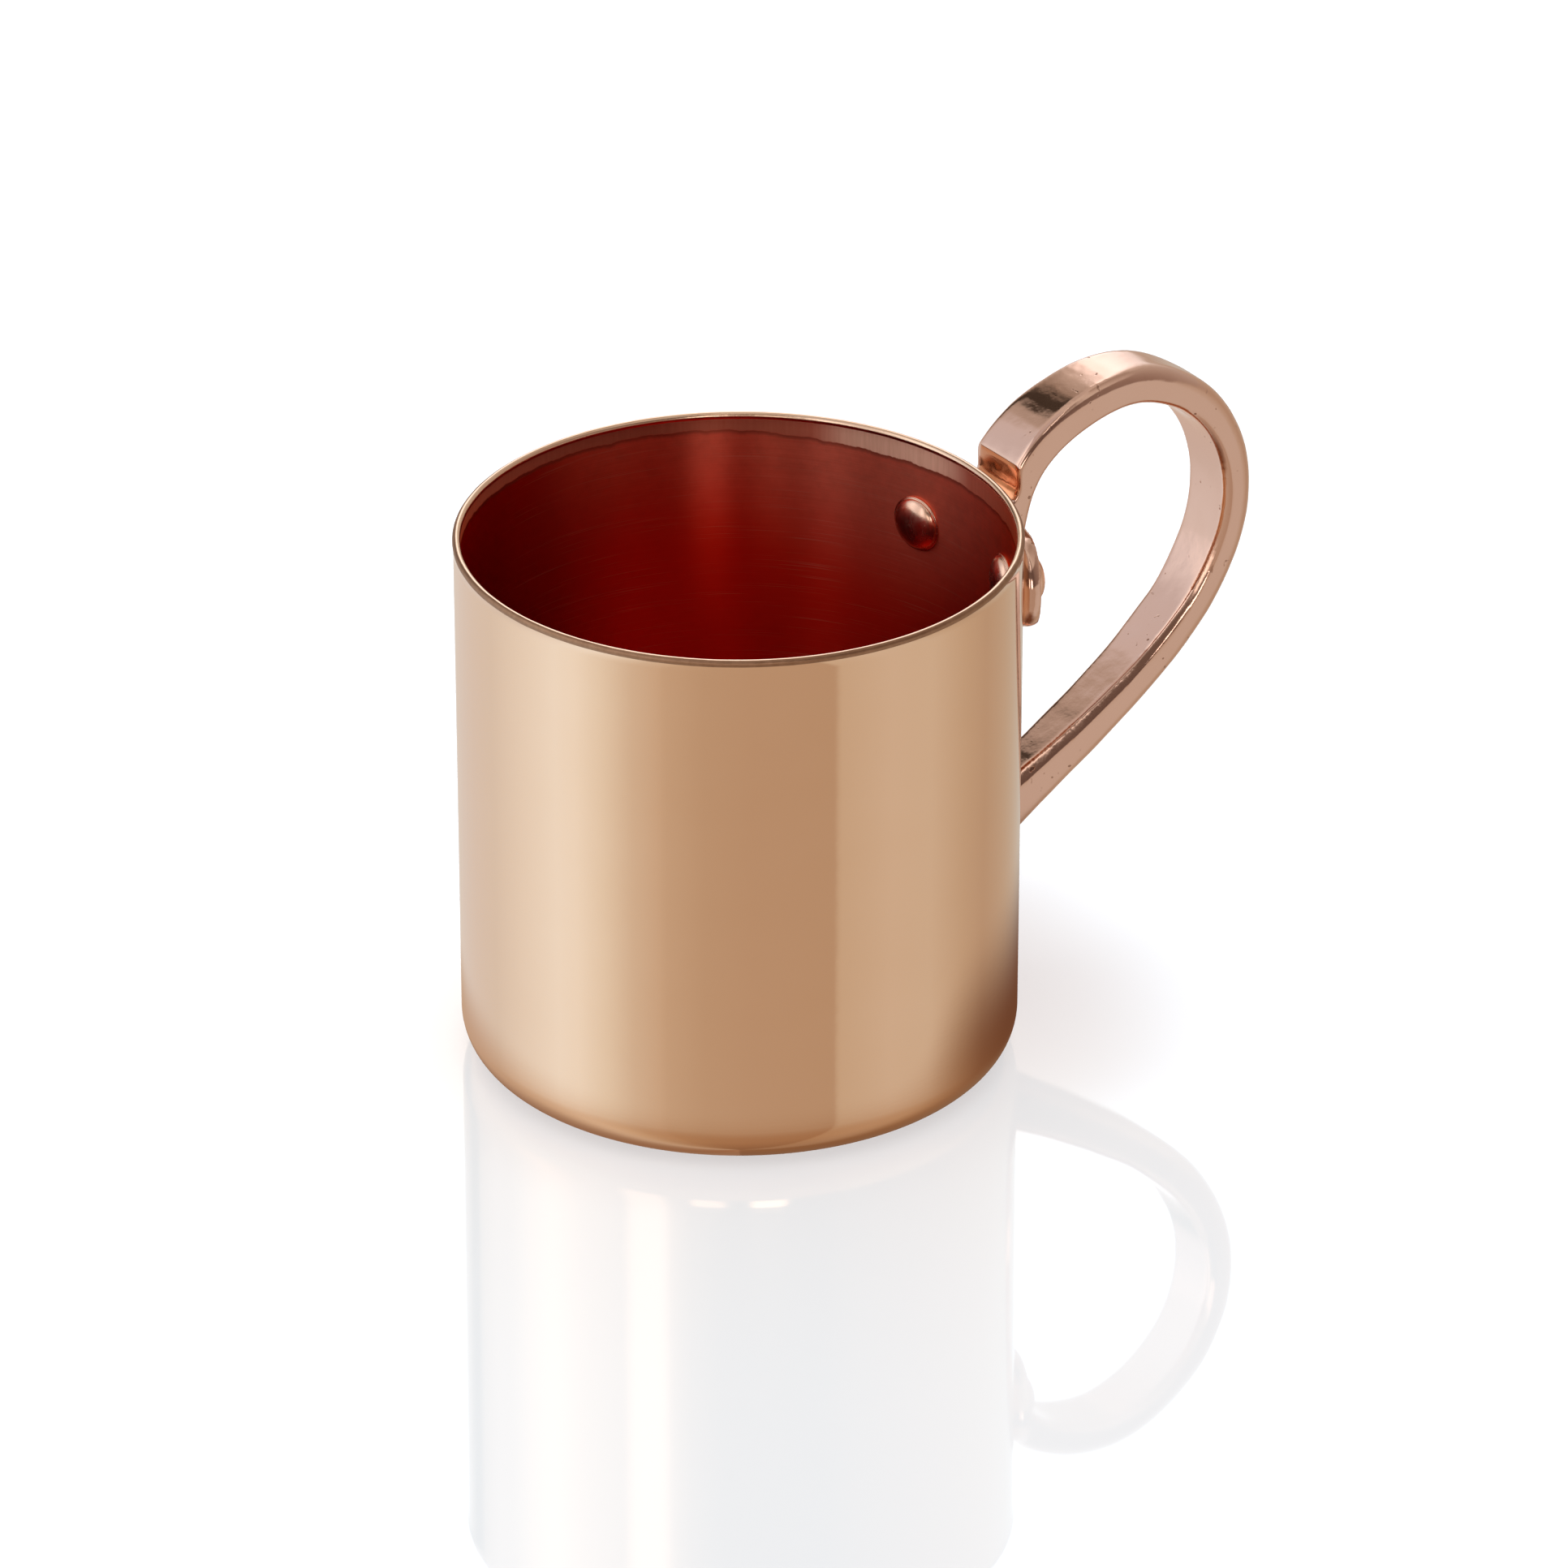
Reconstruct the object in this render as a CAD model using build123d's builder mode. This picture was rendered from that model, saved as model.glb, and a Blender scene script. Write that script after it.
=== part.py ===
from build123d import *
from math import cos, radians, sin
import os

# Copper mug: a spun cup with a cast question-mark handle, held by three solid copper rivets.
# Millimetres. The origin is the centre of the base, +Z is up, and the handle stands out along +X.

# Cup: one sheet of copper, with a very slight taper towards the base.
cup_height = 86.1
rim_radius = 43.0
base_radius = 42.75
wall = 1.0
corner_radius = 6.5
rim_roll_radius = 0.62

# Rivets: a shank through the wall and the casting, a domed head inside, a smaller set head outside.
shank_radius = 2.4
upper_rivet_height = 72.2
left_rivet_angle = 14.6
right_rivet_angle = -18.6
lower_rivet_height = 12.5
inner_head_radius = 4.4
inner_head_rise = 2.1
outer_head_radius = 3.8
outer_head_rise = 1.9
head_edge = 0.45

# Handle lug: a plate that hugs the wall, with a round ear at each upper rivet. The bar stands a little
# nearer to the left ear.
plate_thickness = 3.3
ear_radius = 7.3
left_ear_offset = (rim_radius + plate_thickness / 2) * sin(radians(left_rivet_angle))
right_ear_offset = (rim_radius + plate_thickness / 2) * sin(radians(right_rivet_angle))
neck_half_width = 5.6
neck_fillet = 3.0
plate_edge_fillet = 1.85

# Handle foot: an oval plate behind the lower end of the bar, with the lower rivet under the bar.
foot_top_radius = 7.0
foot_top_height = 25.0
foot_bottom_radius = 6.5
foot_edge_fillet = 1.1

# Handle bar: a rounded strap that follows a spine in the XZ plane. It starts and ends inside the wall.
# It is wide and thin over the rim, and narrower and thicker towards its lower end, where its middle stands
# out from the spine by bar_shift. The corners on its outer side are sharp along the neck, and then grow round
# over a short way. The inner ones are flat bevels, which grow towards the lower end.
spine_points = [
    (43.6, 64.5),
    (46.4, 71.5),
    (48.1, 79.3),
    (51.3, 85.2),
    (60.2, 91.1),
    (70.9, 92.9),
    (82.0, 88.3),
    (89.7, 77.7),
    (90.6, 65.9),
    (85.4, 53.9),
    (72.8, 41.6),
    (50.0, 26.8),
    (40.0, 20.3),
]
bar_sections = 25
bar_width = 11.4
bar_width_loss = 4.2
bar_thickness = 5.9
bar_thickness_gain = 4.8
bar_shift = 0.4
inner_bevel = 0.9
inner_bevel_gain = 0.8
neck_corner = 0.8
loop_corner = 3.2
neck_share = 0.12
loop_share = 0.34

# Rim relief: the casting is hollowed behind the rim, which leaves a sharp ledge under the bar.
relief_floor = 79.6
relief_depth = 48.1
relief_radius = 3.0

# Lengths that only have to reach past the piece that they cut or cross.
reach = 60.0
overshoot = 20.0


def radial_plane(angle, height, distance):
    """A plane that faces straight out from the cup's axis, at this angle, height and distance."""
    outward = (cos(radians(angle)), sin(radians(angle)), 0)
    sideways = (-sin(radians(angle)), cos(radians(angle)), 0)
    centre = (distance * outward[0], distance * outward[1], height)
    return Plane(origin=centre, x_dir=sideways, z_dir=outward)


rivets = {
    "rivet_upper_left": (left_rivet_angle, upper_rivet_height),
    "rivet_upper_right": (right_rivet_angle, upper_rivet_height),
    "rivet_lower": (0.0, lower_rivet_height),
}

os.makedirs("parts", exist_ok=True)

# Forms that fill the space out to a face of the wall or of the plates. They shape what fits those faces.
with BuildPart() as space_inside_wall:
    with Locations((0, 0, wall)):
        Cone(
            base_radius - wall,
            rim_radius - wall,
            cup_height - wall,
            align=(Align.CENTER, Align.CENTER, Align.MIN),
        )

with BuildPart() as space_to_wall:
    Cone(base_radius, rim_radius, cup_height, align=(Align.CENTER, Align.CENTER, Align.MIN))

with BuildPart() as space_to_plate:
    Cone(
        base_radius + plate_thickness,
        rim_radius + plate_thickness,
        cup_height,
        align=(Align.CENTER, Align.CENTER, Align.MIN),
    )

# Cup body, turned from its half profile.
with BuildPart() as cup_body:
    with BuildSketch(Plane.XZ):
        with BuildLine():
            Polyline(
                (0, 0),
                (base_radius, 0),
                (rim_radius, cup_height),
                (rim_radius - wall, cup_height),
                (base_radius - wall, wall),
                (0, wall),
                close=True,
            )
        make_face()
        corners = vertices().filter_by_position(Axis.X, base_radius - 2 * wall, base_radius + wall)
        fillet(corners.sort_by(Axis.Y)[0], corner_radius)
        corners = vertices().filter_by_position(Axis.Y, wall * 0.9, wall * 1.1)
        fillet(corners.sort_by(Axis.X)[-1], corner_radius - wall)
        with Locations((rim_radius - wall / 2, cup_height - rim_roll_radius)):
            Circle(rim_roll_radius)
        square_top = cup_height - rim_roll_radius / 2
        with Locations((rim_radius - wall / 2, square_top)):
            Rectangle(2 * wall, rim_roll_radius, mode=Mode.SUBTRACT)
        with Locations((rim_radius - wall / 2, cup_height - rim_roll_radius)):
            Circle(rim_roll_radius)
    revolve(axis=Axis.Z)
    for angle, height in rivets.values():
        with BuildSketch(radial_plane(angle, height, 0)):
            Circle(shank_radius)
        extrude(amount=reach, mode=Mode.SUBTRACT)
cup_body.part.label = "cup_body"
export_step(cup_body.part, "parts/cup_body.step")

# Lug plate: the T outline, curved to the wall by the two forms, with a rounded outer edge.
with BuildPart() as lug_plate:
    with BuildSketch(Plane.YZ):
        with Locations((left_ear_offset, upper_rivet_height), (right_ear_offset, upper_rivet_height)):
            Circle(ear_radius)
        make_hull()
        with Locations((0, upper_rivet_height)):
            Rectangle(2 * neck_half_width, ear_radius + overshoot / 2, align=(Align.CENTER, Align.MIN))
        inner_corners = vertices().filter_by_position(Axis.X, -neck_half_width - 0.1, neck_half_width + 0.1)
        fillet(inner_corners.group_by(Axis.Y)[0], neck_fillet)
    extrude(amount=reach)
    add(space_to_plate.part, mode=Mode.INTERSECT)
    add(space_to_wall.part, mode=Mode.SUBTRACT)
    outer_face = faces().filter_by(GeomType.CONE).sort_by(SortBy.AREA)[-1]
    fillet(outer_face.edges(), plate_edge_fillet)

# Foot plate: an oval outline, curved to the wall in the same way.
with BuildPart() as foot_plate:
    with BuildSketch(Plane.YZ):
        with Locations((0, foot_top_height)):
            Circle(foot_top_radius)
        with Locations((0, lower_rivet_height)):
            Circle(foot_bottom_radius)
        make_hull()
    extrude(amount=reach)
    add(space_to_plate.part, mode=Mode.INTERSECT)
    add(space_to_wall.part, mode=Mode.SUBTRACT)
    outer_face = faces().filter_by(GeomType.CONE).sort_by(SortBy.AREA)[-1]
    fillet(outer_face.edges(), foot_edge_fillet)

# Handle: one casting of the bar and both plates, trimmed to the wall and bored for the rivets.
with BuildPart() as handle:
    with BuildLine(Plane.XZ) as spine:
        Spline(*spine_points)
    for station in range(bar_sections):
        along = station / (bar_sections - 1)
        width = bar_width - bar_width_loss * along**3
        thickness = bar_thickness + bar_thickness_gain * along**5
        roundness = min(1, max(0, (along - neck_share) / (loop_share - neck_share)))
        outer_corner = neck_corner + (loop_corner - neck_corner) * roundness
        bevel = inner_bevel + inner_bevel_gain * along**3
        section_plane = Plane(origin=spine.line @ along, x_dir=(0, 1, 0), z_dir=spine.line % along)
        with BuildSketch(section_plane):
            with Locations((0, bar_shift * along)):
                Rectangle(width, thickness)
            chamfer(vertices().group_by(Axis.Y)[0], bevel)
            fillet(vertices().group_by(Axis.Y)[-1], outer_corner)
    loft()
    add(space_to_wall.part, mode=Mode.SUBTRACT)
    add(lug_plate.part)
    add(foot_plate.part)
    with BuildSketch(Plane.XZ):
        with BuildLine():
            Polyline(
                (0, relief_floor),
                (relief_depth, relief_floor),
                (relief_depth, cup_height + overshoot),
                (0, cup_height + overshoot),
                close=True,
            )
        make_face()
        fillet(vertices().group_by(Axis.Y)[0].sort_by(Axis.X)[-1], relief_radius)
    extrude(amount=overshoot, both=True, mode=Mode.SUBTRACT)
    for angle, height in rivets.values():
        with BuildSketch(radial_plane(angle, height, 0)):
            Circle(shank_radius)
        extrude(amount=base_radius + 2 * plate_thickness, mode=Mode.SUBTRACT)
handle.part.label = "handle"
export_step(handle.part, "parts/handle.step")

# Rivets: the two heads are turned about the rivet's own axis, and each is trimmed to the curved face
# that it sits on. The shank then fills the bore between them.
for name, (angle, height) in rivets.items():
    outward = radial_plane(angle, height, 0).z_dir
    profile_plane = Plane(origin=(0, 0, height), x_dir=outward, z_dir=outward.cross(Vector(0, 0, 1)))
    rivet_axis = Axis((0, 0, height), outward)

    with BuildPart() as inner_head:
        with BuildSketch(profile_plane):
            with BuildLine():
                dome_start = rim_radius - wall - head_edge
                apex = rim_radius - wall - inner_head_rise
                rise = TangentArc((apex, 0), (dome_start, inner_head_radius), tangent=(0, 1))
                Polyline(rise @ 1, (rim_radius, inner_head_radius), (rim_radius, 0), rise @ 0)
            make_face()
        revolve(axis=rivet_axis)
        add(space_inside_wall.part, mode=Mode.INTERSECT)

    with BuildPart() as outer_head:
        with BuildSketch(profile_plane):
            with BuildLine():
                dome_start = rim_radius + plate_thickness + head_edge
                apex = rim_radius + plate_thickness + outer_head_rise
                fall = TangentArc((apex, 0), (dome_start, outer_head_radius), tangent=(0, 1))
                Polyline(fall @ 1, (rim_radius, outer_head_radius), (rim_radius, 0), fall @ 0)
            make_face()
        revolve(axis=rivet_axis)
        add(space_to_plate.part, mode=Mode.SUBTRACT)

    with BuildPart() as rivet:
        with BuildSketch(radial_plane(angle, height, rim_radius - wall - inner_head_rise / 2)):
            Circle(shank_radius)
        extrude(amount=wall + plate_thickness + (inner_head_rise + outer_head_rise) / 2)
        add(inner_head.part)
        add(outer_head.part)
    rivet.part.label = name
    export_step(rivet.part, f"parts/{name}.step")
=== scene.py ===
"""Looks for the copper mug: a spun, lacquered cup, a cast and plated handle, and three copper rivets.

Everything is in metres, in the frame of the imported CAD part. The cup's axis is Z, its base stands on z = 0,
and the handle stands out along +X.
"""

from math import asin, atan2, cos, degrees, pi, radians, sin, sqrt

import bmesh
import bpy
import numpy as np
from mathutils import Matrix, Vector, noise


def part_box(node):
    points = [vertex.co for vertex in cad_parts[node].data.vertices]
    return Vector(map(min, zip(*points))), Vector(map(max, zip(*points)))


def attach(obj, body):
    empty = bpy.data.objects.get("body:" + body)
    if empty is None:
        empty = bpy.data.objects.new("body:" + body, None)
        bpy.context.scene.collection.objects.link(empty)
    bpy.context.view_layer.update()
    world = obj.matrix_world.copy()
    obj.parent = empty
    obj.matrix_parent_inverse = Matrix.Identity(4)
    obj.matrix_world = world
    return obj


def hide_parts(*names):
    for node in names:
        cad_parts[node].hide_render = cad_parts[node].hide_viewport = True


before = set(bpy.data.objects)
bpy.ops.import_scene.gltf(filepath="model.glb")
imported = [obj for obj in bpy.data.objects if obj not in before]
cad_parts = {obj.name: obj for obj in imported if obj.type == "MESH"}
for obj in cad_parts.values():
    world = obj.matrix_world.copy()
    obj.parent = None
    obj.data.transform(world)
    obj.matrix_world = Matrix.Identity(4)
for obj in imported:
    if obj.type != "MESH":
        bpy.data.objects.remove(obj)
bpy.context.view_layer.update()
scene = bpy.context.scene
MM = 0.001

# Cup. Its height and its rim come from the CAD, and the rest repeats the CAD's driving dimensions.
_, cup_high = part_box("cup_body")
CUP_HEIGHT = cup_high.z
ROLL = 0.62 * MM
WALL = 1.0 * MM
TAPER = 0.25 * MM
CORNER = 6.5 * MM
RIM_MIDDLE = cup_high.x - ROLL
BASE_RADIUS = RIM_MIDDLE + WALL / 2 - TAPER

# Handle plates and rivets. A rivet has its azimuth in degrees, and its height.
PLATE = 3.3 * MM
RIVET_HEIGHT = 72.2 * MM
LOWER_RIVET_HEIGHT = 12.5 * MM
RIVETS = {
    "rivet_upper_left": (14.6, RIVET_HEIGHT),
    "rivet_upper_right": (-18.6, RIVET_HEIGHT),
    "rivet_lower": (0.0, LOWER_RIVET_HEIGHT),
}

# Camera: its place and aim in the frame of the part.
CAMERA_PLACE = Vector((-0.8004, -1.1681, 0.7794))
CAMERA_AIM = Vector((0.50829, 0.73379, -0.45075))
CAMERA_LENS = 240.5
CAMERA_SENSOR = 36.0
CAMERA_SHIFT = (-0.0014, -0.078)
CAMERA_AZIMUTH = atan2(CAMERA_PLACE.y, CAMERA_PLACE.x)


# ---------------------------------------------------------------- node helpers


def add_node(tree, kind, inputs=None, **settings):
    """A node of this kind. An input is a value, or the socket that it is linked to."""
    node = tree.nodes.new(kind)
    for key, value in settings.items():
        setattr(node, key, value)
    for key, value in (inputs or {}).items():
        if isinstance(value, bpy.types.NodeSocket):
            tree.links.new(value, node.inputs[key])
        else:
            node.inputs[key].default_value = value
    return node


def maths(tree, operation, a, b=0.0):
    return add_node(tree, "ShaderNodeMath", {0: a, 1: b}, operation=operation).outputs[0]


def times(tree, a, b):
    return maths(tree, "MULTIPLY", a, b)


def towards(tree, turn, azimuth):
    """How far an angle round the axis lies towards this azimuth: 1 at it, and -1 on the opposite side."""
    return maths(tree, "COSINE", maths(tree, "SUBTRACT", turn, azimuth))


def smooth_range(tree, value, low, high, out_low=0.0, out_high=1.0):
    """A smooth change from out_low to out_high, while the value goes from low to high."""
    inputs = {"Value": value, "From Min": low, "From Max": high, "To Min": out_low, "To Max": out_high}
    return add_node(tree, "ShaderNodeMapRange", inputs, interpolation_type="SMOOTHSTEP").outputs[0]


def mix_colour(tree, share, a, b, blend="MIX"):
    """From colour a, at a share of 0, to colour b, at a share of 1."""
    node = add_node(tree, "ShaderNodeMix", data_type="RGBA", blend_type=blend)
    for socket, value in zip((node.inputs[0], node.inputs[6], node.inputs[7]), (share, a, b)):
        if isinstance(value, bpy.types.NodeSocket):
            tree.links.new(value, socket)
        else:
            socket.default_value = value
    return node.outputs[2]


def ramp(tree, value, stops):
    """A colour ramp. A stop is (position, (red, green, blue))."""
    node = add_node(tree, "ShaderNodeValToRGB", {0: value})
    elements = node.color_ramp.elements
    while len(elements) < len(stops):
        elements.new(0.5)
    for element, (position, colour) in zip(elements, stops):
        element.position = position
        element.color = (*colour, 1.0)
    return node.outputs[0]


def stretched_noise(tree, place, stretch, scale, detail=2.0, roughness=0.5):
    """Noise over the object's own space, stretched by this much along each axis."""
    mapping = add_node(tree, "ShaderNodeMapping", {"Vector": place, "Scale": stretch})
    inputs = {"Vector": mapping.outputs[0], "Scale": scale, "Detail": detail, "Roughness": roughness}
    return add_node(tree, "ShaderNodeTexNoise", inputs).outputs["Fac"]


def bump(tree, height, distance, normal=None):
    """A surface normal with this relief, on top of another normal if there is one."""
    inputs = {"Height": height, "Distance": distance}
    if normal is not None:
        inputs["Normal"] = normal
    return add_node(tree, "ShaderNodeBump", inputs).outputs[0]


def new_material(name):
    """A metal to be finished, as material, node tree, shader and the socket of the object's own space."""
    material = bpy.data.materials.new(name)
    material.use_nodes = True
    tree = material.node_tree
    tree.nodes.clear()
    shader = add_node(tree, "ShaderNodeBsdfPrincipled", {"Metallic": 1.0})
    add_node(tree, "ShaderNodeOutputMaterial", {"Surface": shader.outputs[0]})
    place = add_node(tree, "ShaderNodeTexCoord").outputs["Object"]
    return material, tree, shader, place


def link(tree, shader, **sockets):
    """Link the shader's inputs. A space in the name of an input is written as an underscore."""
    for name, socket in sockets.items():
        tree.links.new(socket, shader.inputs[name.replace("_", " ")])


def cylindrical(tree, place):
    """The angle round the axis, the distance from it, and the height."""
    parts = add_node(tree, "ShaderNodeSeparateXYZ", {0: place}).outputs
    turn = maths(tree, "ARCTAN2", parts[1], parts[0])
    square = maths(tree, "ADD", times(tree, parts[0], parts[0]), times(tree, parts[1], parts[1]))
    return turn, maths(tree, "SQRT", square), parts[2]


# ---------------------------------------------------------------- materials

EVEN = (1, 1, 1)

# Exterior: polished copper under clear lacquer.
exterior, tree, shader, place = new_material("lacquered_copper")
clouds = stretched_noise(tree, place, (1, 1, 1.6), 45.0, 3.0)
lines = stretched_noise(tree, place, (30, 30, 900), 6.0, 3.0, 0.6)
orange_peel = stretched_noise(tree, place, EVEN, 260.0, 2.0)
colour = mix_colour(tree, clouds, (0.835, 0.515, 0.305, 1), (0.865, 0.545, 0.335, 1))
link(tree, shader, Base_Color=colour, Roughness=smooth_range(tree, clouds, 0.25, 0.75, 0.035, 0.06))
fine = bump(tree, lines, 0.004 * MM)
link(tree, shader, Normal=bump(tree, orange_peel, 0.010 * MM, fine))
shader.inputs["Coat Weight"].default_value = 1.0
shader.inputs["Coat Roughness"].default_value = 0.02
shader.inputs["Coat IOR"].default_value = 1.5

# Interior: turned copper, browner above, with a painted reflection low down: a deep red, where the copper
# mostly reflects itself. The painted red is darker on the side away from the handle, which is painted shade.
interior, tree, shader, place = new_material("turned_copper_inside")
turn, _, height = cylindrical(tree, place)
handle_side = towards(tree, turn, radians(-10))
scratches = stretched_noise(tree, place, (10, 10, 900), 5.0, 5.0, 0.7)
# Painted reflection: the deep red stands in for the copper reflecting itself.
painted_reflection_red = mix_colour(tree, scratches, (0.72, 0.014, 0.004, 1), (0.78, 0.026, 0.010, 1))
# Painted shade: the red is darker on the side away from the handle.
painted_reflection_red = mix_colour(tree, smooth_range(tree, handle_side, -0.5, 0.1), (0.42, 0.007, 0.002, 1), painted_reflection_red)
mottle = stretched_noise(tree, place, EVEN, 420.0, 4.0, 0.7)
mottle = smooth_range(tree, mottle, 0.35, 0.75, 0.0, 0.45)
brown = mix_colour(tree, scratches, (0.66, 0.095, 0.050, 1), (0.84, 0.17, 0.10, 1))
brown = mix_colour(tree, mottle, brown, (0.54, 0.105, 0.06, 1))

# The brown begins lower on the side of the handle, and there is none on the opposite side.
BROWN_FROM = 61 * MM
BROWN_FULL = 87 * MM
BROWN_DROP = 9 * MM
level = maths(tree, "ADD", height, smooth_range(tree, handle_side, 0.3, 0.9, 0.0, BROWN_DROP))
level = smooth_range(tree, level, BROWN_FROM, BROWN_FULL)
upper = times(tree, level, smooth_range(tree, handle_side, -0.5, 0.0))
wall_colour = mix_colour(tree, upper, painted_reflection_red, brown)

# A few longer and brighter scratches from the lathe tool.
fine_scratches = stretched_noise(tree, place, (14, 14, 1500), 4.0, 2.0, 0.5)
fine_scratches = smooth_range(tree, fine_scratches, 0.60, 0.72)
wall_colour = mix_colour(tree, times(tree, fine_scratches, 0.22), wall_colour, (0.75, 0.30, 0.20, 1))

# A strip of bare metal below the rim. It is widest on the side of the handle, and it ends in a ragged line of
# painted shadow. Most of it is tarnished, and one patch beside the handle is brighter.
RIM_BAND = 0.6 * MM
STRIP_NARROW = 1.5 * MM
STRIP_WIDE = 2.7 * MM
strip_width = smooth_range(tree, handle_side, 0.3, 0.85, STRIP_NARROW, STRIP_WIDE)
ragged = times(tree, stretched_noise(tree, place, (1, 1, 0.3), 260.0, 4.0, 0.6), 1.3 * MM)
strip_end = maths(tree, "SUBTRACT", CUP_HEIGHT - RIM_BAND, strip_width)
above_end = maths(tree, "SUBTRACT", maths(tree, "ADD", height, ragged), strip_end)
strip = smooth_range(tree, above_end, -0.1 * MM, 0.15 * MM)
# Painted shadow: a dark, ragged line just below the strip.
painted_shadow_line = smooth_range(tree, above_end, -0.9 * MM, -0.1 * MM)
painted_shadow_line = times(tree, times(tree, painted_shadow_line, maths(tree, "SUBTRACT", 1.0, strip)), 0.65)
wall_colour = mix_colour(tree, painted_shadow_line, wall_colour, (0.20, 0.045, 0.025, 1))
brushed = stretched_noise(tree, place, (30, 30, 2), 60.0, 3.0, 0.6)
tarnished = mix_colour(tree, brushed, (0.50, 0.115, 0.065, 1), (0.60, 0.16, 0.095, 1))
bright = mix_colour(tree, brushed, (0.72, 0.34, 0.22, 1), (0.98, 0.55, 0.38, 1))
brighter_patch = smooth_range(tree, towards(tree, turn, radians(19)), 0.93, 0.99)
bare = mix_colour(tree, brighter_patch, tarnished, bright)
link(tree, shader, Base_Color=mix_colour(tree, strip, wall_colour, bare))
link(tree, shader, Roughness=smooth_range(tree, strip, 0.0, 1.0, 0.36, 0.56))
link(tree, shader, Normal=bump(tree, scratches, 0.003 * MM))
tangent = add_node(tree, "ShaderNodeTangent", direction_type="RADIAL", axis="Z").outputs[0]
link(tree, shader, Tangent=tangent)
shader.inputs["Specular Tint"].default_value = (1.0, 0.30, 0.22, 1)
shader.inputs["Anisotropic"].default_value = 0.95
shader.inputs["Anisotropic Rotation"].default_value = 0.25

# Rim: the rolled edge is worn bright on its inner side, and dull brown bare copper on its outer side.
rim, tree, shader, place = new_material("bare_copper_rim")
_, radius, _ = cylindrical(tree, place)
grain = stretched_noise(tree, place, EVEN, 900.0, 4.0, 0.65)
patches = stretched_noise(tree, place, EVEN, 160.0, 3.0, 0.6)
wander = times(tree, maths(tree, "SUBTRACT", patches, 0.5), 0.5 * MM)
outwards = maths(tree, "ADD", radius, wander)
outer_side = smooth_range(tree, outwards, RIM_MIDDLE + 0.05 * MM, RIM_MIDDLE + 0.25 * MM)
dull = mix_colour(tree, grain, (0.24, 0.115, 0.060, 1), (0.46, 0.255, 0.150, 1))
link(tree, shader, Base_Color=mix_colour(tree, outer_side, (0.80, 0.52, 0.35, 1), dull))
link(tree, shader, Roughness=smooth_range(tree, outer_side, 0.0, 1.0, 0.20, 0.42))
link(tree, shader, Normal=bump(tree, grain, 0.03 * MM))

# Underside: turned rings under the lacquer.
underside, tree, shader, place = new_material("turned_copper_base")
_, radius, _ = cylindrical(tree, place)
ring_place = add_node(tree, "ShaderNodeCombineXYZ", {0: radius}).outputs[0]
rings = stretched_noise(tree, ring_place, EVEN, 1400.0, 3.0, 0.7)
soft = stretched_noise(tree, place, EVEN, 60.0, 3.0)
link(tree, shader, Base_Color=mix_colour(tree, rings, (0.74, 0.42, 0.24, 1), (0.86, 0.54, 0.34, 1)))
link(tree, shader, Roughness=smooth_range(tree, soft, 0.3, 0.7, 0.16, 0.26))
link(tree, shader, Normal=bump(tree, rings, 0.012 * MM))
shader.inputs["Coat Weight"].default_value = 1.0
shader.inputs["Coat Roughness"].default_value = 0.06

# Casting: bright copper plating over a casting that was only lightly polished, so it has an orange-peel
# skin in places and all over its lower leg, and a few pits.
PEEL_BELOW = 35 * MM
PEEL_FADES = 65 * MM
plating, tree, shader, place = new_material("copper_plated_casting")
_, _, height = cylindrical(tree, place)
peel = stretched_noise(tree, place, EVEN, 620.0, 2.0, 0.5)
peel_zone = smooth_range(tree, stretched_noise(tree, place, EVEN, 95.0, 2.0), 0.42, 0.62, 0.15, 1.0)
low_down = smooth_range(tree, height, PEEL_BELOW, PEEL_FADES, 1.3, 0.15)
peel_zone = maths(tree, "MAXIMUM", peel_zone, low_down)
pits = smooth_range(tree, stretched_noise(tree, place, EVEN, 950.0, 1.0, 0.4), 0.70, 0.77)
pit_zone = smooth_range(tree, stretched_noise(tree, place, EVEN, 110.0, 2.0), 0.50, 0.62)
pits = times(tree, pits, pit_zone)
tint = stretched_noise(tree, place, EVEN, 60.0, 3.0)
copper = mix_colour(tree, tint, (0.71, 0.425, 0.305, 1), (0.77, 0.48, 0.36, 1))
copper = mix_colour(tree, times(tree, pits, 0.7), copper, (0.22, 0.09, 0.05, 1))
skin = bump(tree, times(tree, peel, peel_zone), 0.030 * MM)
link(tree, shader, Base_Color=copper)
link(tree, shader, Roughness=smooth_range(tree, tint, 0.3, 0.7, 0.07, 0.14))
link(tree, shader, Normal=bump(tree, maths(tree, "SUBTRACT", 1.0, pits), 0.05 * MM, skin))

# Rivets: solid copper, hammered and brushed.
rivet_copper, tree, shader, place = new_material("hammered_copper")
grain = stretched_noise(tree, place, EVEN, 900.0, 3.0, 0.6)
blotch = stretched_noise(tree, place, EVEN, 260.0, 3.0)
link(tree, shader, Base_Color=mix_colour(tree, blotch, (0.74, 0.42, 0.28, 1), (0.86, 0.54, 0.39, 1)))
link(tree, shader, Roughness=smooth_range(tree, grain, 0.3, 0.7, 0.20, 0.28))
link(tree, shader, Normal=bump(tree, grain, 0.008 * MM))


# ---------------------------------------------------------------- shapes


def within_unit(value):
    return min(1.0, max(0.0, value))


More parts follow.
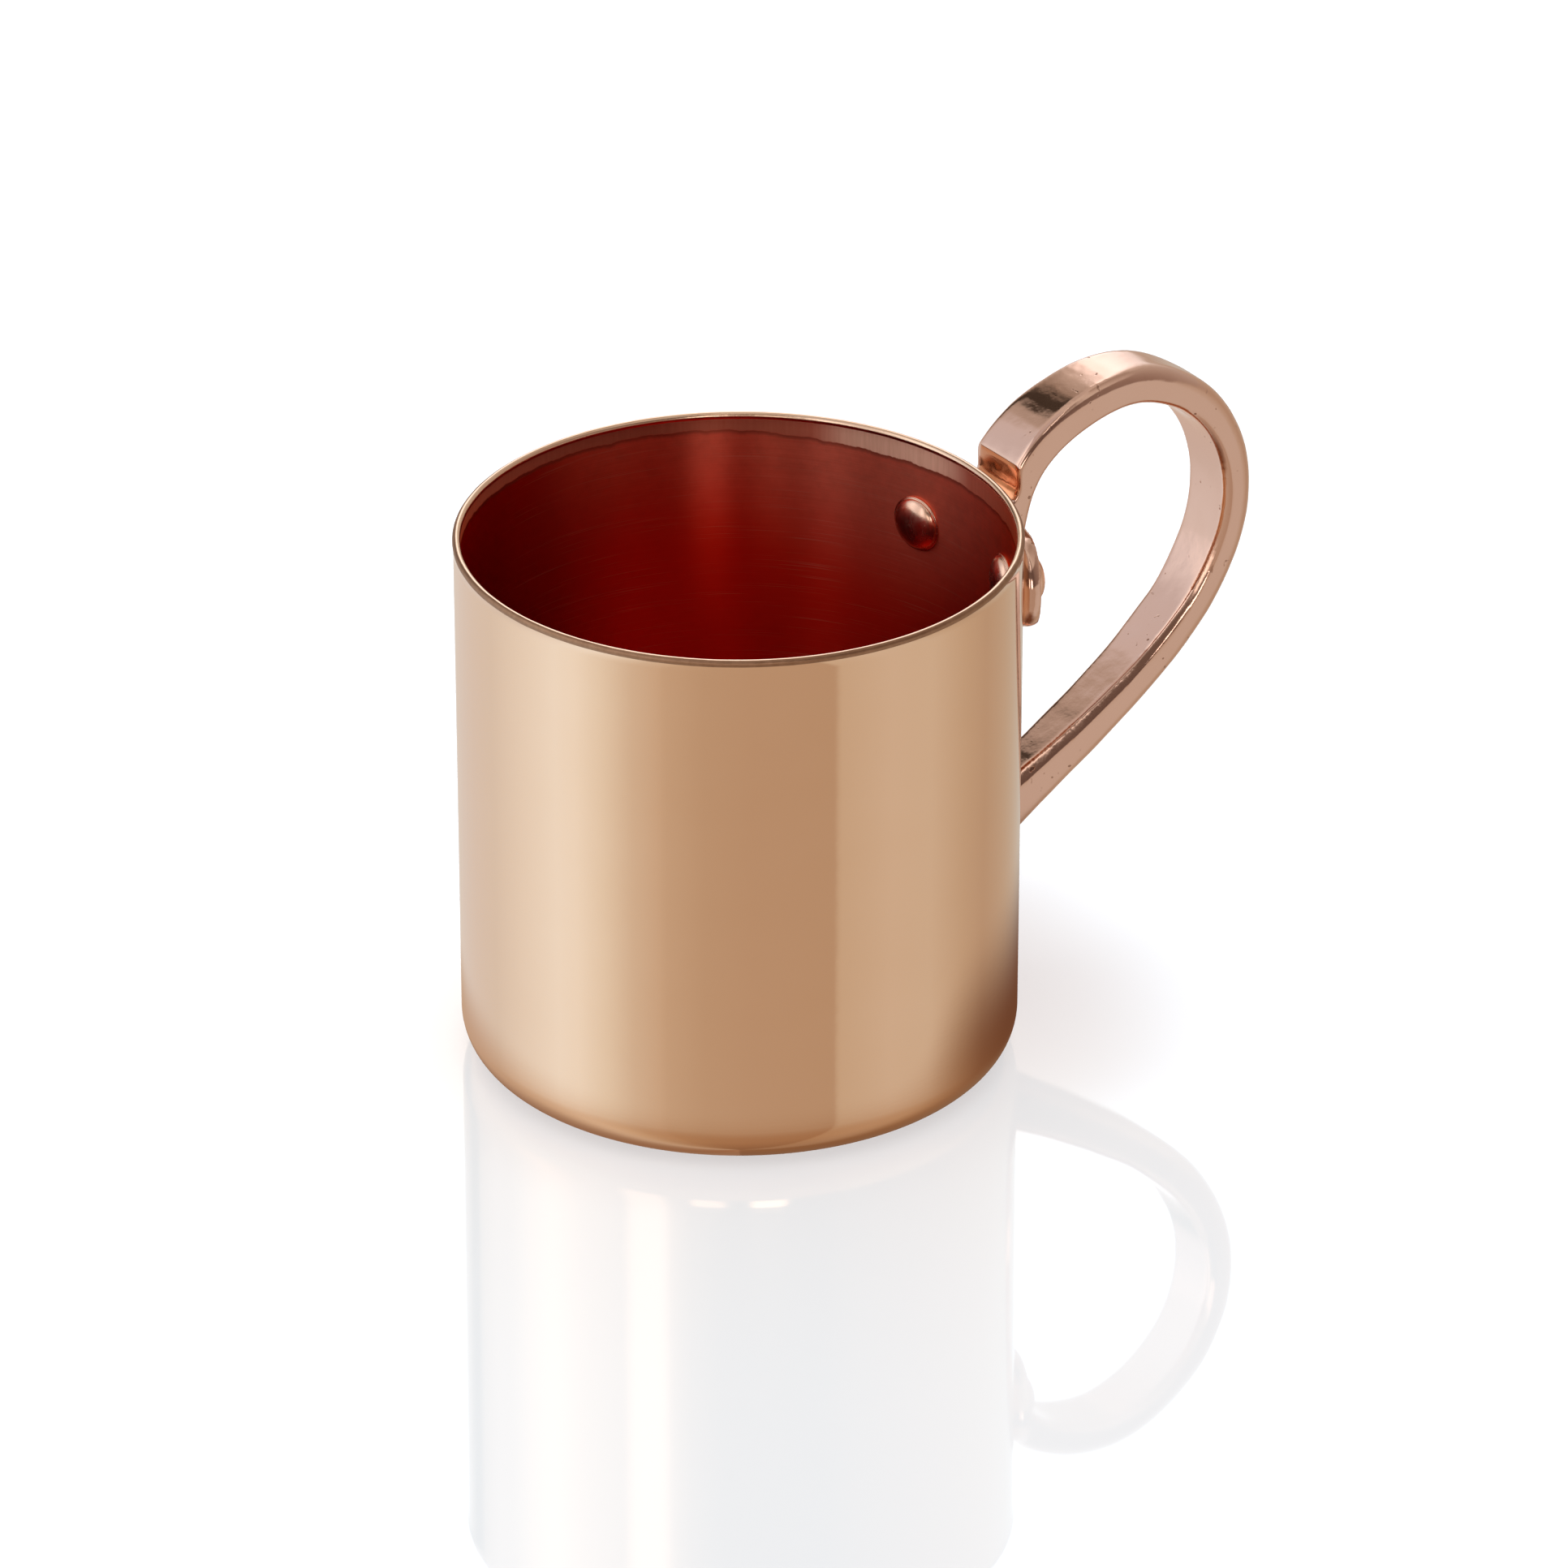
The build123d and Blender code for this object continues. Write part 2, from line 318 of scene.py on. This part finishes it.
def lathe(name, profile, segments, materials, move=None, transform=None):
    """A closed turned piece. A profile row is (radius, height, material index of the band after it), and the
    first and last rows are the poles, with radius 0. move(point, radius, height) may shift any other point.
    """
    vertices, rings = [], []
    for radius, height, _ in profile:
        ring = []
        steps = 1 if radius == 0 else segments
        for step in range(steps):
            angle = 2 * pi * step / segments
            point = Vector((radius * cos(angle), radius * sin(angle), height))
            if move and radius:
                point = move(point, radius, height)
            ring.append(len(vertices))
            vertices.append(point)
        rings.append(ring)
    faces, indices = [], []
    for (lower, upper), row in zip(zip(rings, rings[1:]), profile):
        for step in range(segments):
            after = (step + 1) % segments
            if len(lower) == 1:
                face = (lower[0], upper[after], upper[step])
            elif len(upper) == 1:
                face = (lower[step], lower[after], upper[0])
            else:
                face = (lower[step], lower[after], upper[after], upper[step])
            faces.append(face)
            indices.append(row[2])
    mesh = bpy.data.meshes.new(name)
    mesh.from_pydata([tuple(v) for v in vertices], [], faces)
    mesh.polygons.foreach_set("material_index", indices)
    mesh.polygons.foreach_set("use_smooth", [True] * len(faces))
    for material in materials:
        mesh.materials.append(material)
    if transform is not None:
        mesh.transform(transform)
    mesh.update()
    piece = bpy.data.objects.new(name, mesh)
    scene.collection.objects.link(piece)
    return piece


def arc(centre, radius, start, end, steps):
    """Points on an arc from one angle to another, in degrees, both ends included."""
    points = []
    for step in range(steps + 1):
        angle = radians(start + (end - start) * step / steps)
        points.append((centre[0] + radius * cos(angle), centre[1] + radius * sin(angle)))
    return points


def line(start, end, steps):
    """Points on a straight run, both ends included."""
    points = []
    for step in range(steps + 1):
        across = start[0] + (end[0] - start[0]) * step / steps
        up = start[1] + (end[1] - start[1]) * step / steps
        points.append((across, up))
    return points


# Cup profile, from the middle of the underside, out, up the wall, over the rolled rim and down inside. The
# middle of the underside is a shallow dimple, where the lathe's centre held the sheet.
OUTSIDE, INSIDE, RIM, UNDERSIDE = 0, 1, 2, 3
DIMPLE_DEPTH = 0.12 * MM
DIMPLE_RADII = (1.2 * MM, 2.2 * MM)
CUP_SEGMENTS = 512
FLAT_STEPS = 40
CORNER_STEPS = 24
WALL_STEPS = 70
ROLL_STEPS = 18
rim_outer = RIM_MIDDLE + WALL / 2
rim_inner = RIM_MIDDLE - WALL / 2
roll_centre = (RIM_MIDDLE, CUP_HEIGHT - ROLL)
roll_drop = sqrt(ROLL**2 - (WALL / 2) ** 2)
roll_foot = roll_centre[1] - roll_drop
roll_angle = degrees(asin(roll_drop / ROLL))
flat_radius = BASE_RADIUS - CORNER
lean = (rim_outer - BASE_RADIUS) / CUP_HEIGHT * CORNER
dimple_floor, dimple_edge = DIMPLE_RADII
runs = [
    (line((0.0, DIMPLE_DEPTH), (dimple_floor, DIMPLE_DEPTH), 2), UNDERSIDE),
    (line((dimple_edge, 0.0), (flat_radius, 0.0), FLAT_STEPS), UNDERSIDE),
    (arc((flat_radius + lean, CORNER), CORNER, -90, 0, CORNER_STEPS)[1:], OUTSIDE),
    (line((BASE_RADIUS + lean, CORNER), (rim_outer, roll_foot), WALL_STEPS)[1:], OUTSIDE),
    (arc(roll_centre, ROLL, -roll_angle, 180 + roll_angle, ROLL_STEPS)[1:], RIM),
    (line((rim_inner, roll_foot), (BASE_RADIUS - WALL + lean, CORNER), WALL_STEPS)[1:], INSIDE),
    (arc((flat_radius, CORNER), CORNER - WALL, 0, -90, CORNER_STEPS)[1:], INSIDE),
    (line((flat_radius, WALL), (0.0, WALL), FLAT_STEPS)[1:], INSIDE),
]
profile = []
for points, band in runs:
    if profile:
        profile[-1] = (*profile[-1][:2], band)
    profile.extend((r, z, band) for r, z in points)


# Depths of the sheet's unevenness.
SHEET_SWELL = 0.010 * MM
RIM_WAVE = 0.030 * MM


def spun_sheet(point, radius, height):
    """The sheet's small unevenness: a few microns in the wall, and a little more along the rolled rim."""
    outward = Vector((point.x, point.y, 0)).normalized()
    swell = noise.noise(Vector((point.x * 28, point.y * 28, height * 20)))
    shift = SHEET_SWELL * swell * min(1.0, height / CORNER)
    sag = 0.0
    if height > CUP_HEIGHT - 2.2 * ROLL:
        shift += RIM_WAVE * noise.noise(Vector((point.x * 260, point.y * 260, 3.0)))
        sag = RIM_WAVE * abs(noise.noise(Vector((point.x * 90, point.y * 90, 9.0))))
    return point + outward * shift - Vector((0, 0, sag))


cup = lathe("cup_sheet", profile, CUP_SEGMENTS, [exterior, interior, rim, underside], spun_sheet)
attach(cup, "root")
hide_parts("cup_body")

# Casting: how evenly it is meshed, where its bar begins, and the depths of its unevenness in millimetres.
# The plates stay true to the wall, and only the bar has the waves.
WELD = 0.002 * MM
VOXEL = 0.32 * MM
BAR_FROM = 0.0475
BAR_FADE = 0.006
WAVE = 0.15
POLISHED_OFF = 0.12
RIPPLE = 0.022
SKIN = 0.009


def noise_at(x, y, z, scale, offset=0.0):
    return noise.noise(Vector((x * scale, y * scale, z * scale + offset)))


def cast_handle(name, node):
    """The casting: the CAD shape with its edges softened, and the low waves that polishing leaves."""
    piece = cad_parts[node].copy()
    piece.data = piece.data.copy()
    piece.name = piece.data.name = name
    for key in list(piece.keys()):
        del piece[key]
    piece.parent = None
    scene.collection.objects.link(piece)
    shape = bmesh.new()
    shape.from_mesh(piece.data)
    bmesh.ops.remove_doubles(shape, verts=shape.verts, dist=WELD)
    shape.to_mesh(piece.data)
    shape.free()
    remesh = piece.modifiers.new("even", "REMESH")
    remesh.mode = "VOXEL"
    remesh.voxel_size = VOXEL
    smooth = piece.modifiers.new("soften", "SMOOTH")
    smooth.factor = 0.5
    smooth.iterations = 8
    evaluated = piece.evaluated_get(bpy.context.evaluated_depsgraph_get())
    mesh = bpy.data.meshes.new_from_object(evaluated)
    piece.modifiers.clear()
    piece.data = mesh
    count = len(mesh.vertices)
    points, normals = np.empty(count * 3), np.empty(count * 3)
    mesh.vertices.foreach_get("co", points)
    mesh.vertices.foreach_get("normal", normals)
    points, normals = points.reshape(-1, 3), normals.reshape(-1, 3)
    shifts = []
    for x, y, z in points:
        away = within_unit((sqrt(x * x + y * y) - BAR_FROM) / BAR_FADE)
        patchy = within_unit(0.35 + 1.6 * noise_at(x, y, z, 80, 4.0))
        waves = (WAVE * noise_at(x, y, z, 130) - POLISHED_OFF) * MM * away
        fine = (RIPPLE * noise_at(x, y, z, 380) + SKIN * patchy * noise_at(x, y, z, 900)) * MM
        shifts.append(waves + fine)
    points = points + normals * np.array(shifts)[:, None]
    mesh.vertices.foreach_set("co", points.ravel())
    mesh.polygons.foreach_set("use_smooth", [True] * len(mesh.polygons))
    mesh.materials.clear()
    mesh.materials.append(plating)
    mesh.update()
    return piece


handle = cast_handle("cast_handle", "handle")
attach(handle, "root")
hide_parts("handle")

# Rivets: a spool with a domed head inside the cup, and a smaller flatter one outside the plate.
SHANK = 2.4 * MM
INNER_HEAD = (4.4 * MM, 2.1 * MM)
OUTER_HEAD = (3.8 * MM, 1.9 * MM)
HEAD_EDGE = 0.45 * MM
HEAD_SUNK = 0.30 * MM
HEAD_STEP = 0.05 * MM
EDGE_LEAN = 0.01 * MM
EDGE_BREAK_IN = 0.12 * MM
EDGE_BREAK_DOWN = 0.1 * MM
DOME_INSET = 0.30 * MM

# Hammer dents: how far from the middle of a head they reach, and their depths in millimetres.
DENTS_REACH = 4.1 * MM
DENTS_FADE = 0.8 * MM
DENT = 0.035
FINE_DENT = 0.005

RIVET_SEGMENTS = 96
INNER_FACE = RIM_MIDDLE - WALL / 2
OUTER_FACE = RIM_MIDDLE + WALL / 2 + PLATE


def head_profile(radius, rise, face, sign, steps=18):
    """From the shank, out to the head's edge, round it and over the dome to its top. It starts a little
    below the face that the head sits on.
    """
    sunk = face - sign * HEAD_SUNK
    dome_foot = HEAD_EDGE - HEAD_STEP
    dome_rise = rise - HEAD_EDGE + HEAD_STEP
    dome_radius = radius - DOME_INSET
    rows = [
        (SHANK, sunk),
        (radius - HEAD_STEP, sunk),
        (radius, face),
        (radius - EDGE_LEAN, face + sign * (HEAD_EDGE - EDGE_BREAK_DOWN)),
        (radius - EDGE_BREAK_IN, face + sign * HEAD_EDGE),
    ]
    for step in range(steps + 1):
        turn = pi / 2 * step / steps
        rows.append((dome_radius * cos(turn), face + sign * (dome_foot + dome_rise * sin(turn) ** 1.15)))
    rows[-1] = (0.0, face + sign * rise)
    return rows


def hammered(seed):
    """The dents of the hammer on both heads, along the rivet's own axis."""

    def move(point, radius, height):
        outside = 1.0 if height > (INNER_FACE + OUTER_FACE) / 2 else -1.0
        dent = noise.noise(Vector((point.x * 420, point.y * 420, seed + outside)))
        fine = noise.noise(Vector((point.x * 1300, point.y * 1300, seed + outside)))
        fade = within_unit((DENTS_REACH - radius) / DENTS_FADE)
        return point - Vector((0, 0, outside * fade * MM * (DENT * (dent + 0.6) + FINE_DENT * fine)))

    return move


for index, (name, (angle, height)) in enumerate(RIVETS.items()):
    inner = head_profile(*INNER_HEAD, INNER_FACE, -1)
    outer = head_profile(*OUTER_HEAD, OUTER_FACE, 1)
    rows = [(radius, along, 0) for radius, along in list(reversed(inner)) + outer]
    outward = Vector((cos(radians(angle)), sin(radians(angle)), 0))
    sideways = Vector((-sin(radians(angle)), cos(radians(angle)), 0))
    turned = Matrix((sideways, Vector((0, 0, 1)), outward)).transposed().to_4x4()
    turned.translation = Vector((0, 0, height))
    dents = hammered(10.0 * index)
    spool = lathe(name + "_copper", rows, RIVET_SEGMENTS, [rivet_copper], dents, turned)
    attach(spool, "root")
    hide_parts(name)


# ---------------------------------------------------------------- studio

FLOOR_REACH = 6.0
FLOOR_DROP = 0.02 * MM
SHADE_SIZE = 120 * MM
SHADE_DROP = 0.01 * MM


def level_square(name, reach, drop, material):
    """A square round the origin, a hair below z = 0. It reaches this far along each axis."""
    mesh = bpy.data.meshes.new(name)
    corners = [(x * reach, y * reach, 0) for x, y in ((-1, -1), (1, -1), (1, 1), (-1, 1))]
    mesh.from_pydata(corners, [], [(0, 1, 2, 3)])
    mesh.materials.append(material)
    square = bpy.data.objects.new(name, mesh)
    square.location.z = -drop
    scene.collection.objects.link(square)
    return square


floor_white, tree, shader, place = new_material("white_acrylic")
shader.inputs["Metallic"].default_value = 0.0
shader.inputs["Base Color"].default_value = (0.585, 0.60, 0.615, 1)
shader.inputs["Roughness"].default_value = 0.03
shader.inputs["IOR"].default_value = 2.1
floor = level_square("floor", FLOOR_REACH, FLOOR_DROP, floor_white)
floor.visible_glossy = False

# The shade that the mug casts on the floor round its foot, as its polished wall shows it. It filters what
# the wall reflects from below, and it is deeper and wider on the side away from the main light.
FOOT_RADIUS = 43 * MM
SHADE_RADII = (62 * MM, 92 * MM)
UNDER_RADII = (39 * MM, 46 * MM)
SHADED_SIDE = CAMERA_AZIMUTH + radians(120)
shade_material, tree, shader, place = new_material("foot_shade")
turn, radius, _ = cylindrical(tree, place)
away = smooth_range(tree, towards(tree, turn, SHADED_SIDE), 0.12, 1.0)
near = mix_colour(tree, away, (0.76, 0.58, 0.44, 1), (0.26, 0.11, 0.06, 1))
reach = smooth_range(tree, away, 0.0, 1.0, *SHADE_RADII)
fade_inputs = {"Value": radius, "From Min": FOOT_RADIUS, "From Max": reach}
fade = add_node(tree, "ShaderNodeMapRange", fade_inputs, interpolation_type="SMOOTHERSTEP")
filter_colour = mix_colour(tree, fade.outputs[0], near, (1, 1, 1, 1))
under = smooth_range(tree, radius, *UNDER_RADII)
filter_colour = mix_colour(tree, under, (0.42, 0.26, 0.17, 1), filter_colour)
clear = add_node(tree, "ShaderNodeBsdfTransparent", {"Color": filter_colour})
tree.nodes.remove(shader)
output = next(node for node in tree.nodes if node.type == "OUTPUT_MATERIAL")
tree.links.new(clear.outputs[0], output.inputs["Surface"])
foot_shade = level_square("foot_shade", SHADE_SIZE, SHADE_DROP, shade_material)
foot_shade.visible_camera = False
foot_shade.visible_diffuse = False
foot_shade.visible_shadow = False
foot_shade.visible_transmission = False

# Light all round the mug, by azimuth from the camera in degrees (positive to the right) and by elevation.
world = bpy.data.worlds.new("studio")
scene.world = world
world.use_nodes = True
tree = world.node_tree
tree.nodes.clear()
direction = add_node(tree, "ShaderNodeTexCoord").outputs["Generated"]
parts = add_node(tree, "ShaderNodeSeparateXYZ", {0: direction}).outputs
azimuth = maths(tree, "SUBTRACT", maths(tree, "ARCTAN2", parts[1], parts[0]), CAMERA_AZIMUTH)
azimuth = maths(tree, "WRAP", azimuth, pi)
azimuth.node.inputs[2].default_value = -pi
share = maths(tree, "ADD", maths(tree, "DIVIDE", azimuth, 2 * pi), 0.5)
elevation = times(tree, maths(tree, "ARCSINE", parts[2]), 180 / pi)


def by_azimuth(stops):
    """Light of a colour that changes round the mug. A stop is (azimuth, (red, green, blue))."""
    return ramp(tree, share, [((angle + 180) / 360, colour) for angle, colour in stops])


low_ring = by_azimuth([
    (-180, (0.80, 0.75, 0.70)),
    (-175, (0.78, 0.72, 0.66)),
    (-168, (0.73, 0.62, 0.53)),
    (-145, (0.76, 0.73, 0.70)),
    (-120, (0.79, 0.84, 0.88)),
    (-100, (0.90, 1.02, 1.14)),
    (-80, (0.99, 1.18, 1.38)),
    (-70, (0.98, 1.15, 1.32)),
    (-57, (0.88, 0.98, 1.05)),
    (-44, (0.74, 0.75, 0.74)),
    (-33, (0.68, 0.64, 0.59)),
    (-30, (0.64, 0.59, 0.53)),
    (-14, (0.58, 0.51, 0.44)),
    (5, (0.56, 0.48, 0.41)),
    (39.3, (0.55, 0.47, 0.40)),
    (41.3, (0.66, 0.63, 0.58)),
    (65, (0.71, 0.70, 0.68)),
    (85, (0.70, 0.69, 0.66)),
    (105, (0.61, 0.55, 0.47)),
    (120, (0.55, 0.46, 0.37)),
    (140, (0.57, 0.48, 0.38)),
    (174, (0.60, 0.52, 0.44)),
])
middle_ring = by_azimuth([
    (-180, (1.9, 2.0, 2.2)),
    (-174, (1.7, 1.8, 1.95)),
    (-168, (0.75, 0.74, 0.72)),
    (-156, (0.40, 0.36, 0.32)),
    (-150, (0.07, 0.06, 0.05)),
    (-142, (0.06, 0.05, 0.04)),
    (-138, (0.46, 0.44, 0.42)),
    (-133, (0.57, 0.55, 0.53)),
    (-122, (0.78, 0.84, 0.94)),
    (-112, (0.76, 0.84, 0.97)),
    (-104, (0.98, 1.12, 1.30)),
    (-85, (1.55, 1.68, 1.82)),
    (-70, (1.10, 1.18, 1.30)),
    (-50, (0.80, 0.82, 0.86)),
    (-44, (1.60, 1.70, 1.85)),
    (-33, (1.60, 1.70, 1.85)),
    (-28, (0.75, 0.74, 0.73)),
    (-20, (0.40, 0.37, 0.35)),
    (-8, (0.20, 0.16, 0.14)),
    (34, (0.16, 0.12, 0.11)),
    (50, (0.26, 0.21, 0.19)),
    (80, (0.36, 0.29, 0.26)),
    (118, (0.50, 0.45, 0.42)),
    (150, (0.60, 0.57, 0.54)),
    (166, (0.75, 0.73, 0.70)),
    (173, (1.3, 1.4, 1.5)),
    (180, (1.9, 2.0, 2.2)),
])
high_ring = by_azimuth([
    (-180, (0.72, 0.70, 0.68)),
    (-150, (0.60, 0.58, 0.56)),
    (-133, (0.74, 0.73, 0.71)),
    (-100, (0.64, 0.63, 0.66)),
    (-64, (0.66, 0.66, 0.74)),
    (-30, (0.55, 0.53, 0.52)),
    (-20, (0.32, 0.28, 0.26)),
    (-16, (0.70, 0.68, 0.66)),
    (-8, (0.70, 0.68, 0.66)),
    (-4, (0.28, 0.24, 0.22)),
    (4, (0.28, 0.24, 0.22)),
    (8, (1.50, 1.50, 1.50)),
    (16, (1.50, 1.50, 1.50)),
    (20, (0.24, 0.19, 0.17)),
    (54, (0.75, 0.75, 0.72)),
    (100, (0.60, 0.56, 0.53)),
    (148, (0.45, 0.40, 0.36)),
    (180, (0.72, 0.70, 0.68)),
])

# Two bright upright strips at the front, for the inside of the cup. Seen from above, its outer wall can't show
# them, since it reflects only what lies below the horizon.
front_strips = by_azimuth([
    (-180, (0.0, 0.0, 0.0)),
    (-21, (0.0, 0.0, 0.0)),
    (-17, (1.6, 1.6, 1.6)),
    (-8, (1.6, 1.6, 1.6)),
    (-4, (0.0, 0.0, 0.0)),
    (3, (0.0, 0.0, 0.0)),
    (7, (3.2, 3.2, 3.2)),
    (16, (3.2, 3.2, 3.2)),
    (20, (0.0, 0.0, 0.0)),
])
overhead = (0.75, 0.75, 0.72, 1)

# Elevations in degrees, where the strips fade and where each ring gives way to the next.
LOW_TO_MIDDLE = (2, 12)
STRIPS_BEGIN = (4, 12)
STRIPS_END = (22, 29)
MIDDLE_TO_HIGH = (46, 54)
HIGH_TO_OVERHEAD = (76, 84)
strips_begin = smooth_range(tree, elevation, *STRIPS_BEGIN)
strips_end = smooth_range(tree, elevation, *STRIPS_END, 1.0, 0.0)
light = mix_colour(tree, smooth_range(tree, elevation, *LOW_TO_MIDDLE), low_ring, middle_ring)
light = mix_colour(tree, times(tree, strips_begin, strips_end), light, front_strips, "ADD")
light = mix_colour(tree, smooth_range(tree, elevation, *MIDDLE_TO_HIGH), light, high_ring)
light = mix_colour(tree, smooth_range(tree, elevation, *HIGH_TO_OVERHEAD), light, overhead)
background = add_node(tree, "ShaderNodeBackground", {"Color": light, "Strength": 1.0})
add_node(tree, "ShaderNodeOutputWorld", {"Surface": background.outputs[0]})
world.cycles_visibility.diffuse = False

# Two wide soft boxes above light the floor, and the polished metal doesn't show them. The floor takes no
# other diffuse light, so it stays an even white. Only the weaker box throws a shadow.
BOX_SIZE = 3.0
BOX_HEIGHT = 1.6
for name, energy, shadows in (("fill_light", 92.0, False), ("shadow_light", 10.0, True)):
    box = bpy.data.lights.new(name, "AREA")
    box.shape = "SQUARE"
    box.size = BOX_SIZE
    box.energy = energy
    box.use_shadow = shadows
    lamp = bpy.data.objects.new(name, box)
    lamp.location = (0, 0, BOX_HEIGHT)
    lamp.visible_glossy = False
    lamp.visible_camera = False
    scene.collection.objects.link(lamp)

camera_data = bpy.data.cameras.new("camera")
camera_data.lens = CAMERA_LENS
camera_data.sensor_width = CAMERA_SENSOR
camera_data.shift_x, camera_data.shift_y = CAMERA_SHIFT
camera_data.clip_end = 50.0
camera = bpy.data.objects.new("camera", camera_data)
camera.location = CAMERA_PLACE
camera.rotation_euler = CAMERA_AIM.to_track_quat("-Z", "Y").to_euler()
scene.collection.objects.link(camera)
scene.camera = camera
scene.view_settings.view_transform = "Standard"
